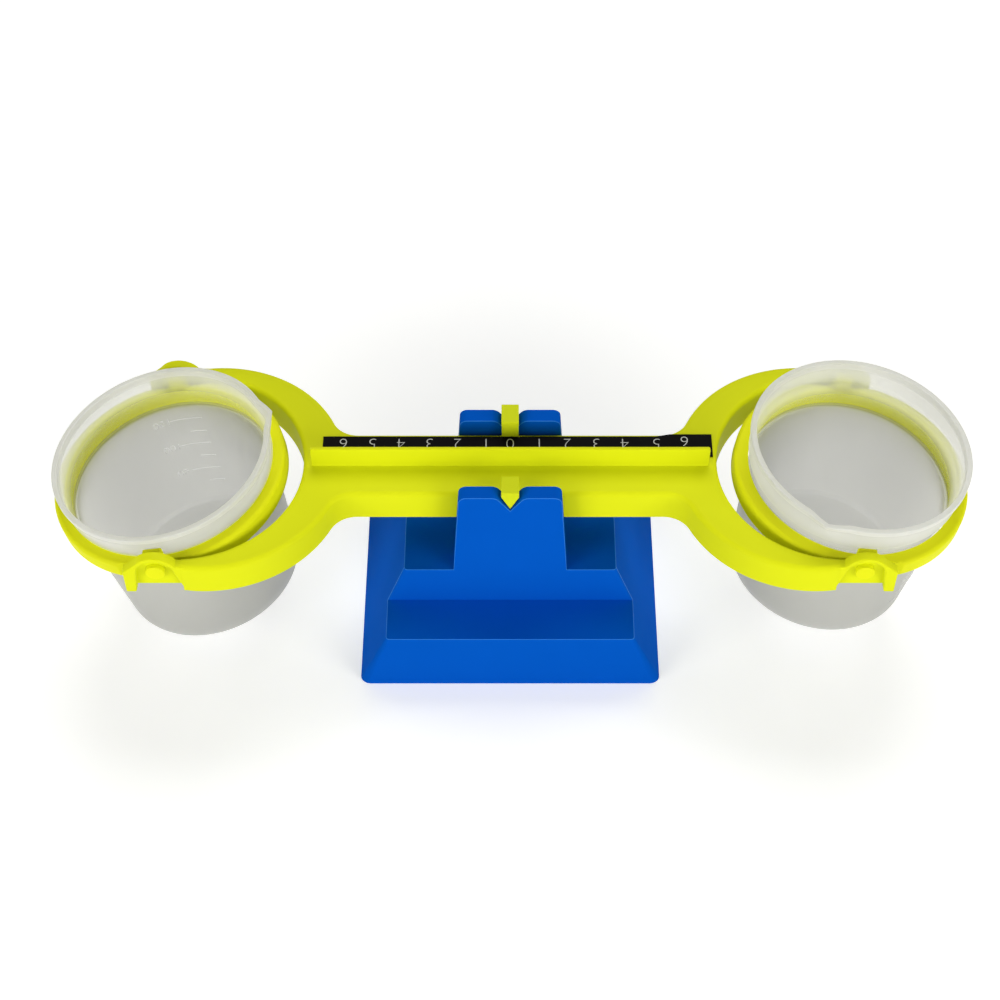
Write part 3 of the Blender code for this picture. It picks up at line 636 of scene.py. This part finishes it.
def make_lug():
    # A pierced back plate under an arched strap with a leg, and its three mirror images.
    reach = LUG_ARCH_R + LUG_STRAP
    y = -(LUG_IN + LUG_BACK_T)

    def crown(bm):
        first = bm.verts.new((-LUG_ROOT, y, LUG_TOP))
        last = draw(bm, first, (reach * math.cos(LUG_CROWN_FROM), y, reach * math.sin(LUG_CROWN_FROM)))
        last = bend(bm, last, (0.0, y, 0.0), LUG_CROWN_FROM - LUG_CROWN_TO, 16, ACROSS)
        leg = ((LUG_LEG_OUT, LUG_LEG_RISE), (LUG_LEG_OUT, -LUG_LEG_LOW), (LUG_LEG_IN, -LUG_LEG_LOW))
        return first, run(bm, last, [(x, y, z) for x, z in leg])

    lug = bmesh.new()
    first, last = crown(lug)
    last = draw(lug, last, (LUG_ARCH_R, y, 0.0))
    last = bend(lug, last, (0.0, y, 0.0), -math.pi, 20, ACROSS)
    last = run(lug, last, [(-YOKE_END, y, -LUG_BACK_DROP), (-LUG_ROOT, y, -LUG_BACK_DROP)])
    thicken(lug, [closed(lug, first, last)], (0.0, LUG_IN + LUG_BACK_T - LUG_OUT, 0.0))
    front = [edge for edge in sharp_edges(lug) if min(vert.co.y for vert in edge.verts) < -LUG_OUT + TINY]
    soften(lug, front, LUG_EDGE_R, 3)

    back = bmesh.new()
    first, last = crown(back)
    last = run(back, last, [(LUG_LEG_IN, y, -LUG_BACK_DROP), (-LUG_ROOT, y, -LUG_BACK_DROP)])
    back.edges.new((last, first))
    upright = Matrix.Translation((0.0, y, 0.0)) @ Matrix.Rotation(math.pi / 2, 4, "X")
    bmesh.ops.create_circle(back, segments=32, radius=PIN_HOLE_R, matrix=upright)
    filled = bmesh.ops.triangle_fill(back, use_beauty=True, edges=list(back.edges))["geom"]
    thicken(back, only(filled, bmesh.types.BMFace), (0.0, LUG_BACK_T, 0.0))

    add_body(lug, back)
    bmesh.ops.translate(lug, verts=lug.verts, vec=(PIN_X, 0.0, PIN_Z))
    for axis in ("X", "Y"):
        bmesh.ops.mirror(lug, geom=list(lug.verts) + list(lug.edges) + list(lug.faces), matrix=Matrix(),
                         merge_dist=-1.0, axis=axis)
    return lug


def make_beam():
    bm = bmesh.new()
    lip = raise_wall(bm, beam_plan(bm, 0.0, YOKE_END, SKIRT_BOTTOM), BEAM_SKIRT)
    bmesh.ops.recalc_face_normals(bm, faces=bm.faces)
    end_x = PIN_X - YOKE_END - TINY
    soften(bm, [edge for edge in lip if min(abs(vert.co.x) for vert in edge.verts) < end_x], BEAM_EDGE_R, 6)
    outer = [edge for edge in bm.edges if max(vert.co.z for vert in edge.verts) < SKIRT_BOTTOM + NEAR]
    inner = beam_plan(bm, BEAM_WALL, YOKE_VOID_END, SKIRT_BOTTOM)
    raise_wall(bm, inner, BEAM_SKIRT - BEAM_WALL)
    bmesh.ops.triangle_fill(bm, use_beauty=True, edges=outer + inner)

    # The rib, with rounded upper corners.
    rib = block((-RIB_HALF_L, RIB_HALF_L), (RIB_FRONT, RIB_FRONT + RIB_T), (BEAM_TOP - MM, BEAM_TOP + RIB_H))
    high = [edge for edge in rib.edges if min(vert.co.z for vert in edge.verts) > BEAM_TOP]
    soften(rib, [edge for edge in high if edge.calc_length() < 2 * RIB_T], RIB_TIP_R, 4)
    soften(rib, sharp_edges(rib), RIB_EDGE_R, 3)
    add_body(bm, rib)
    add_body(bm, make_lug())

    # The bosses that hold the knife tongues.
    for side in (-1, 1):
        y = sorted((side * BOSS_IN, side * (BAR_HALF - BEAM_WALL + BOSS_SINK)))
        add_body(bm, block((-BOSS_HALF_W, BOSS_HALF_W), y, (BEAM_TOP - BOSS_DROP, BEAM_TOP - MM)))
    return bm


piece("beam_moulding", make_beam(), [LIME], "beam_body", ["beam"])


# Knife-edge inserts: a pointed bar on a heel, with a tongue that goes down into the beam


def make_knife(side, end):
    bm = bmesh.new()
    first = bm.verts.new((0.0, side * KNIFE_IN, KNIFE_TIP))
    outline = ((KNIFE_HALF_W, KNIFE_SHOULDER), (KNIFE_HALF_W, KNIFE_TOP),
               (-KNIFE_HALF_W, KNIFE_TOP), (-KNIFE_HALF_W, KNIFE_SHOULDER))
    last = run(bm, first, [(x, side * KNIFE_IN, z) for x, z in outline])
    thicken(bm, [closed(bm, first, last)], (0.0, side * (end - KNIFE_IN), 0.0))
    sharp = sharp_edges(bm, 20.0)
    blunt = [edge for edge in sharp if max(vert.co.z for vert in edge.verts) > KNIFE_TIP + MM]
    soften(bm, blunt, KNIFE_EDGE_R, 3)

    heel = block((HEEL_INSET - KNIFE_HALF_W, KNIFE_HALF_W - HEEL_INSET),
                 sorted((side * (KNIFE_IN + HEEL_INSET), side * BAR_HALF)),
                 (BEAM_TOP + HEEL_INSET, KNIFE_TOP - HEEL_INSET))
    sharp = sharp_edges(heel)
    blunt = [edge for edge in sharp if max(vert.co.z for vert in edge.verts) > KNIFE_TOP - MM]
    soften(heel, blunt, KNIFE_EDGE_R, 3)
    add_body(bm, heel)
    add_body(bm, block((-TONGUE_HALF_W, TONGUE_HALF_W),
                       sorted((side * TONGUE_IN, side * (KNIFE_IN + TONGUE_SINK))),
                       (BEAM_TOP - TONGUE_DROP, BEAM_TOP - TONGUE_TOP_DROP)))
    return bm


for side, label, end in ((-1, "front", KNIFE_OUT), (1, "rear", KNIFE_REAR_OUT)):
    piece(label + "_knife_insert", make_knife(side, end), [KNIFE_LIME], "beam_body", [label + "_knife_edge"])


# Numbered strip: a film whose rear edge stands a little further back near the right end


def make_strip():
    bm = bmesh.new()
    first = bm.verts.new((STRIP_LEFT, STRIP_FRONT, STRIP_Z))
    relief = KNIFE_HALF_W + STRIP_RELIEF
    relief_y = KNIFE_IN - STRIP_RELIEF
    step_y = STRIP_REAR + STRIP_STEP
    outline = ((STRIP_RIGHT, STRIP_FRONT), (STRIP_RIGHT, step_y), (STRIP_STEP_TO, step_y),
               (STRIP_STEP_FROM, STRIP_REAR), (relief, STRIP_REAR), (relief, relief_y),
               (-relief, relief_y), (-relief, STRIP_REAR), (STRIP_LEFT, STRIP_REAR))
    last = run(bm, first, [(x, y, STRIP_Z) for x, y in outline])
    thicken(bm, [closed(bm, first, last)], (0.0, 0.0, STRIP_T))
    upper = [edge for edge in sharp_edges(bm) if min(vert.co.z for vert in edge.verts) > STRIP_Z + TINY]
    soften(bm, upper, STRIP_EDGE_R, 2)
    return bm


piece("black_strip", make_strip(), [STRIP], "beam_body", ["scale_strip"])


def figure(text, height, depth, thin):
    # A font's outlines made into thin solid lettering.
    curve = bpy.data.curves.new("figure", "FONT")
    curve.body = text
    curve.align_x = "CENTER"
    curve.size = height / FIGURE_SHARE
    curve.offset = -thin
    curve.extrude = depth / 2
    obj = bpy.data.objects.new("figure", curve)
    bpy.context.scene.collection.objects.link(obj)
    mesh = bpy.data.meshes.new_from_object(obj.evaluated_get(bpy.context.evaluated_depsgraph_get()))
    bm = bmesh.new()
    bm.from_mesh(mesh)
    bpy.data.objects.remove(obj)
    bpy.data.curves.remove(curve)
    bpy.data.meshes.remove(mesh)
    bmesh.ops.remove_doubles(bm, verts=bm.verts, dist=MERGE)
    return bm


# The figures run from 6 down to 0 and up to 6, and read from the rear. The last one follows the strip's step.
figures = bmesh.new()
last_figure = len(FIGURE_X_MM) - 1
for index, x in enumerate(FIGURE_X_MM):
    y = FIGURE_Y + (STRIP_STEP if index == last_figure else 0.0)
    place = Matrix.Translation((x * MM, y, STRIP_Z + STRIP_T)) @ Matrix.Rotation(math.pi, 4, "Z")
    number = abs(index - last_figure // 2)
    add_body(figures, figure(str(number), FIGURE_H, FIGURE_T, FIGURE_THIN), place)
piece("strip_figures", figures, [INK], "beam_body")


# Collars: a rounded ring with an ear and a pin at front and rear


def make_collar(place):
    bm = bmesh.new()
    edge_x = COLLAR_OUT_R - COLLAR_EDGE_R
    top_z = COLLAR_TOP - COLLAR_EDGE_R
    low_z = COLLAR_BOTTOM + COLLAR_EDGE_R
    low_r = COLLAR_IN_R - BODY_TAPER * (COLLAR_TOP - COLLAR_BOTTOM)
    first = bm.verts.new((COLLAR_IN_R, 0.0, COLLAR_TOP))
    last = draw(bm, first, (edge_x, 0.0, COLLAR_TOP))
    last = bend(bm, last, (edge_x, 0.0, top_z), math.pi / 2, 6, ACROSS)
    last = draw(bm, last, (COLLAR_OUT_R, 0.0, low_z))
    last = bend(bm, last, (edge_x, 0.0, low_z), math.pi / 2, 6, ACROSS)
    last = draw(bm, last, (low_r, 0.0, COLLAR_BOTTOM))
    bm.edges.new((last, first))
    turn(bm, 120)
    for side in (-1, 1):
        cut = bmesh.ops.bisect_plane(bm, geom=list(bm.verts) + list(bm.edges) + list(bm.faces), dist=MERGE,
                                     clear_outer=True, plane_co=(0.0, side * COLLAR_FLAT, 0.0),
                                     plane_no=(0.0, side, 0.0))["geom_cut"]
        rim = only(cut, bmesh.types.BMEdge)
        bmesh.ops.contextual_create(bm, geom=rim)
        bmesh.ops.recalc_face_normals(bm, faces=bm.faces)
        soften(bm, rim, COLLAR_FLAT_EDGE_R, 3)
    for side in (-1, 1):
        ear = block((-EAR_HALF_W, EAR_HALF_W), sorted((side * EAR_IN, side * EAR_OUT)), (EAR_BOTTOM, EAR_TOP))
        upper = [edge for edge in sharp_edges(ear) if max(vert.co.z for vert in edge.verts) > EAR_TOP - TINY]
        soften(ear, upper, EAR_EDGE_R, 3)
        add_body(bm, ear)
        pin = bmesh.new()
        length = PIN_END - EAR_OUT + PIN_ROOT
        bmesh.ops.create_cone(pin, cap_ends=True, segments=32, radius1=PIN_R, radius2=PIN_R, depth=length)
        rims = [edge for edge in sharp_edges(pin) if len({round(vert.co.z, 6) for vert in edge.verts}) == 1]
        soften(pin, rims, PIN_EDGE_R, 3)
        middle = Matrix.Translation((0.0, side * (PIN_END - length / 2), 0.0))
        add_body(bm, pin, middle @ Matrix.Rotation(math.pi / 2, 4, "X"))
    bmesh.ops.transform(bm, matrix=place, verts=bm.verts)
    return bm


# Buckets: a turned shell with a rolled rim, a stepped neck, a pinched spout and raised measuring marks


def wall_r(height):
    # The outside radius of the tapered wall.
    return BODY_TOP_R + BODY_TAPER * (height - SHOULDER_H)


def quarters(start, end):
    # Places that part a line of the profile into quarters, and its end.
    inside = [(start[0] + (end[0] - start[0]) * part / 4, 0.0, start[1] + (end[1] - start[1]) * part / 4)
              for part in (1, 2, 3)]
    return inside + [(end[0], 0.0, end[1])]


def make_bucket(place, bearing):
    bm = bmesh.new()
    wall = BUCKET_WALL
    rim_z = RIM_H - RIM_EDGE_R
    neck_top = RIM_H - RIM_BEAD_H - RIM_BEAD_STEP
    neck_foot = SHOULDER_H + NECK_EDGE_R
    fillet_x = BUCKET_FOOT_R - BUCKET_FILLET_R + BODY_TAPER * BUCKET_FILLET_R
    fillet_z = BUCKET_FLOOR + BUCKET_FILLET_R
    # Down the outside.
    first = bm.verts.new((NECK_R - wall + RIM_EDGE_R, 0.0, RIM_H))
    last = draw(bm, first, (RIM_R - RIM_EDGE_R, 0.0, RIM_H))
    last = bend(bm, last, (RIM_R - RIM_EDGE_R, 0.0, rim_z), math.pi / 2, 4, ACROSS)
    last = run(bm, last, [(RIM_R, 0.0, RIM_H - RIM_BEAD_H), (NECK_R, 0.0, neck_top)])
    last = run(bm, last, quarters((NECK_R, neck_top), (NECK_FOOT_R, neck_foot)))
    last = bend(bm, last, (NECK_FOOT_R - NECK_EDGE_R, 0.0, neck_foot), math.pi / 2, 3, ACROSS)
    last = run(bm, last, [(BODY_TOP_R, 0.0, SHOULDER_H), (fillet_x + BUCKET_FILLET_R, 0.0, fillet_z)])
    last = bend(bm, last, (fillet_x, 0.0, fillet_z), math.pi / 2, 6, ACROSS)
    last = draw(bm, last, (0.0, 0.0, BUCKET_FLOOR))
    # Up the inside.
    last = run(bm, last, [(0.0, 0.0, BUCKET_FLOOR + wall), (fillet_x, 0.0, BUCKET_FLOOR + wall)])
    last = bend(bm, last, (fillet_x, 0.0, fillet_z), -math.pi / 2, 5, ACROSS)
    last = run(bm, last, [(BODY_TOP_R - wall, 0.0, SHOULDER_H - wall),
                          (NECK_FOOT_R - wall, 0.0, SHOULDER_H + wall)])
    last = run(bm, last, quarters((NECK_FOOT_R - wall, SHOULDER_H + wall), (NECK_R - wall, rim_z)))
    last = bend(bm, last, (NECK_R - wall + RIM_EDGE_R, 0.0, rim_z), math.pi / 2, 4, ACROSS)
    bm.edges.new((last, first))
    turn(bm, 180)
    for face in bm.faces:
        face.material_index = int(face.calc_center_median().z > RIM_H - RIM_BEAD_H)
    # The spout: the rim drawn out to a point.
    for vert in bm.verts:
        radius = math.hypot(vert.co.x, vert.co.y)
        rise = (vert.co.z - RIM_H + SPOUT_DEPTH) / SPOUT_DEPTH
        share = 1.0 - abs(math.atan2(vert.co.y, vert.co.x)) / SPOUT_HALF_ANGLE
        if rise > 0.0 and share > 0.0 and radius > TINY:
            grow = 1.0 + SPOUT_REACH * share * rise * rise / radius
            vert.co.x *= grow
            vert.co.y *= grow
    bmesh.ops.transform(bm, matrix=place @ Matrix.Rotation(bearing, 4, "Z"), verts=bm.verts)
    return bm


def make_marks(place, bearing):
    # Lines every 25 ml, longer and numbered every 50 ml, bent round the wall and standing a little proud.
    bm = bmesh.new()
    for index, height_mm in enumerate(MARK_HEIGHTS_MM):
        height = height_mm * MM
        numbered = index % 2 == 0
        # The bar's length is an angle until it is bent round the wall.
        sweep = MARK_LONG if numbered else MARK_SHORT
        bar = block((0.0, sweep), (-MARK_UNDER, MARK_PROUD), (-MARK_HALF_T, MARK_HALF_T))
        long_edges = [edge for edge in bar.edges if edge.calc_length() > 1.0]
        bmesh.ops.subdivide_edges(bar, edges=long_edges, cuts=11, use_grid_fill=True)
        for vert in bar.verts:
            angle = math.radians(MARK_FROM + vert.co.x)
            radius = wall_r(height) + vert.co.y
            vert.co = (radius * math.cos(angle), radius * math.sin(angle), height + vert.co.z)
        add_body(bm, bar)
        if numbered:
            text = str(MARK_ML_TOP - MARK_ML_STEP * index)
            label = figure(text, MARK_FIGURE_H, MARK_PROUD + MARK_UNDER, MARK_FIGURE_THIN)
            bmesh.ops.triangulate(label, faces=label.faces)
            for vert in label.verts:
                angle = math.radians(MARK_FIGURE_AT) + vert.co.x / wall_r(height)
                radius = wall_r(height) + vert.co.z + (MARK_PROUD - MARK_UNDER) / 2
                drop = height - MARK_FIGURE_DROP
                vert.co = (radius * math.cos(angle), radius * math.sin(angle), drop + vert.co.y)
            add_body(bm, label)
    bmesh.ops.transform(bm, matrix=place @ Matrix.Rotation(bearing, 4, "Z"), verts=bm.verts)
    return bm


for side, label, lean, bearing, lift in ((-1, "left", LEFT_LEAN, LEFT_SPOUT, 0.0),
                                         (1, "right", RIGHT_LEAN, RIGHT_SPOUT, RIGHT_RAISE)):
    place = Matrix.Translation((side * PIN_X, 0.0, PIN_Z)) @ Matrix.Rotation(side * lean, 4, "Y")
    piece(label + "_collar_ring", make_collar(place), [COLLAR_LIME], label + "_collar_body",
          [label + "_collar"])
    plastic = frosted(label + "_frosted_polypropylene", "B4B4B2", "ACACAA", 0.55, 0.5, 0.6, 0.85, place)
    place = place @ Matrix.Translation((0.0, 0.0, lift))
    marks = solid(label + "_marks", make_marks(place, bearing))
    # The marks take the material painted whiter than the wall, for the light they catch.
    marks.data.materials.append(MARKS_PAINTED_WHITER)
    piece(label + "_frosted_bucket", make_bucket(place, bearing), [plastic, FROSTED_RIM],
          label + "_bucket_body", [label + "_bucket"], marks=marks)


# Stage: a wide floor of white paper that keeps the shadow, under a white surrounding

FLOOR_HALF = 3.0
FLOOR_LIFT = 0.35
FLOOR_FADE_FROM = 0.5
FLOOR_FADE_TO = 1.3
WORLD_FILL = 0.13
LIGHT_AIM = (0.0, 0.0, 0.05)


def background_rays(tree):
    # 1 for a ray from the camera, from a gloss or through a wall, and 0 for the light that falls on things.
    path = add(tree, "ShaderNodeLightPath").outputs
    seen = add(tree, "ShaderNodeMath", {}, {0: path["Is Camera Ray"], 1: path["Is Glossy Ray"]},
               operation="MAXIMUM")
    seen = add(tree, "ShaderNodeMath", {}, {0: seen.outputs[0], 1: path["Is Transmission Ray"]},
               operation="MAXIMUM")
    return seen.outputs[0]


floor_bm = bmesh.new()
bmesh.ops.create_grid(floor_bm, x_segments=1, y_segments=1, size=FLOOR_HALF)
floor = solid("floor", floor_bm)
paper, tree = blank("white_paper")
# Matt paper, lifted where it is seen, that fades into the plain white surrounding away from the object.
seen = background_rays(tree)
matt = add(tree, "ShaderNodeBsdfDiffuse", {"Color": tone("F6F6F4")})
lift = add(tree, "ShaderNodeMath", {1: FLOOR_LIFT}, {0: seen}, operation="MULTIPLY")
glow = add(tree, "ShaderNodeEmission", {"Color": WHITE}, {"Strength": lift.outputs[0]})
both = add(tree, "ShaderNodeAddShader", {}, {0: matt.outputs[0], 1: glow.outputs[0]})
where = add(tree, "ShaderNodeTexCoord").outputs["Object"]
away = add(tree, "ShaderNodeVectorMath", {}, {0: where}, operation="LENGTH")
far = add(tree, "ShaderNodeMapRange", {"From Min": FLOOR_FADE_FROM, "From Max": FLOOR_FADE_TO},
          {"Value": away.outputs["Value"]}, interpolation_type="SMOOTHSTEP")
fade = add(tree, "ShaderNodeMath", {}, {0: far.outputs[0], 1: seen}, operation="MULTIPLY")
white = add(tree, "ShaderNodeEmission", {"Color": WHITE, "Strength": 1.0})
sweep = add(tree, "ShaderNodeMixShader", {}, {0: fade.outputs[0], 1: both.outputs[0], 2: white.outputs[0]})
add(tree, "ShaderNodeOutputMaterial", {}, {"Surface": sweep.outputs[0]})
floor.data.materials.append(paper)

# The world is white where it is seen, and a dim even fill for everything else.
world = bpy.data.worlds.new("studio")
bpy.context.scene.world = world
world.use_nodes = True
tree = world.node_tree
tree.nodes.clear()
bright = add(tree, "ShaderNodeMapRange", {"To Min": WORLD_FILL, "To Max": 1.0},
             {"Value": background_rays(tree)})
sky = add(tree, "ShaderNodeBackground", {"Color": WHITE}, {"Strength": bright.outputs[0]})
add(tree, "ShaderNodeOutputWorld", {}, {"Surface": sky.outputs[0]})


def softbox(name, spot, size, watts):
    # A rectangular lamp turned towards the object.
    light = bpy.data.lights.new(name, "AREA")
    light.shape = "RECTANGLE"
    light.size, light.size_y = size
    light.energy = watts
    obj = bpy.data.objects.new(name, light)
    obj.location = spot
    obj.rotation_euler = (Vector(LIGHT_AIM) - Vector(spot)).to_track_quat("-Z", "Y").to_euler()
    bpy.context.scene.collection.objects.link(obj)


softbox("front_softbox", (-0.1, -1.3, 0.75), (2.4, 0.7), 4.2)
softbox("top_softbox", (0.1, 0.75, 1.3), (1.0, 0.8), 11.3)
softbox("left_softbox", (-1.0, -0.85, 0.45), (0.7, 0.6), 8.5)
softbox("right_softbox", (1.0, -0.85, 0.45), (0.7, 0.6), 9.3)

# The camera, fitted to the photograph.
lens = bpy.data.cameras.new("camera")
lens.sensor_width = 36.0
lens.lens = 73.496
lens.shift_x = -0.01016
lens.shift_y = 0.02177
lens.clip_start = 0.01
lens.clip_end = 20.0
camera = bpy.data.objects.new("camera", lens)
camera.location = (0.0, -0.46037, 0.63663)
camera.rotation_euler = (math.radians(37.89), 0.0, 0.0)
bpy.context.scene.collection.objects.link(camera)
bpy.context.scene.camera = camera
bpy.context.scene.view_settings.view_transform = "Standard"
